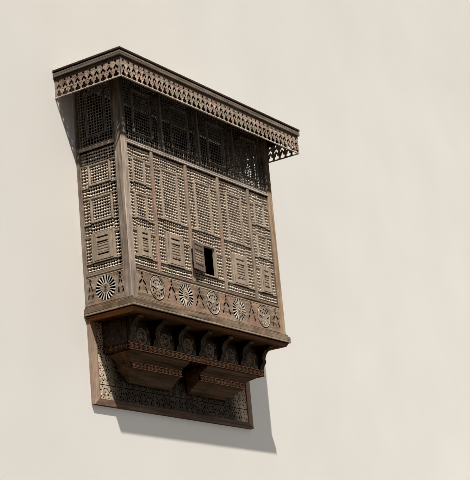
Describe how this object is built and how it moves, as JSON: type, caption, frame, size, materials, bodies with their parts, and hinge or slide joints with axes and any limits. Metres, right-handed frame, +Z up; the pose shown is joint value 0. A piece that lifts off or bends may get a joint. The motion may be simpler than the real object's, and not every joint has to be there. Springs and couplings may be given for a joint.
{
  "type": "mashrabiya screen",
  "caption": "Projecting wooden lattice oriel on carved corbels, with a pierced canopy valance, framed lattice panels, small hatch leaves and a rosette apron.",
  "frame": {"origin": "on the wall face, in the middle of the wall boards below the corbels", "axes": "+Z up, +Y into the wall, +X to the right as seen from the front"},
  "size_m": [2.908, 0.737, 2.9],
  "materials": {
    "canopy_wood": "weathered",
    "valance_wood": "weathered",
    "frame_wood": "weathered",
    "lattice_wood": "weathered",
    "upper_lattice_wood": "weathered",
    "carved_wood": "weathered",
    "fillet_wood": "weathered",
    "corbel_wood": "weathered",
    "frieze_wood": "weathered",
    "wall_wood": "weathered",
    "hinge_iron": "weathered"
  },
  "bodies": {
    "root": {"roof_boards": "canopy_wood", "fascia_front": "canopy_wood", "fascia_sides": "canopy_wood", "valance_front": "valance_wood", "valance_sides": "valance_wood", "front_posts": "frame_wood", "rear_stiles": "frame_wood", "head_rails": "frame_wood", "mid_rails": "frame_wood", "lower_rails": "frame_wood", "mullions": "frame_wood", "upper_mullions": "frame_wood", "lattice_1": "lattice_wood", "lattice_2": "lattice_wood", "lattice_3": "lattice_wood", "lattice_4": "lattice_wood", "lattice_5": "lattice_wood", "lattice_left": "lattice_wood", "lattice_right": "lattice_wood", "panel_frames": "lattice_wood", "closed_leaves": "lattice_wood", "open_leaf": "lattice_wood", "upper_lattice_1": "upper_lattice_wood", "upper_lattice_2": "upper_lattice_wood", "upper_lattice_3": "upper_lattice_wood", "upper_lattice_4": "upper_lattice_wood", "upper_lattice_left": "upper_lattice_wood", "upper_lattice_right": "upper_lattice_wood", "apron_front": "carved_wood", "apron_sides": "carved_wood", "base_front": "carved_wood", "base_sides": "carved_wood", "fillet_front": "fillet_wood", "fillet_sides": "fillet_wood", "floor_boards": "corbel_wood", "bay_panel": "corbel_wood", "bay_sides": "corbel_wood", "brackets": "corbel_wood", "corbels": "corbel_wood", "frieze_upper": "frieze_wood", "frieze_lower": "frieze_wood", "wall_stiles": "wall_wood", "wall_sill": "wall_wood", "wall_panels": "wall_wood", "leaf_hinges": "hinge_iron"}
  },
  "joints": []
}
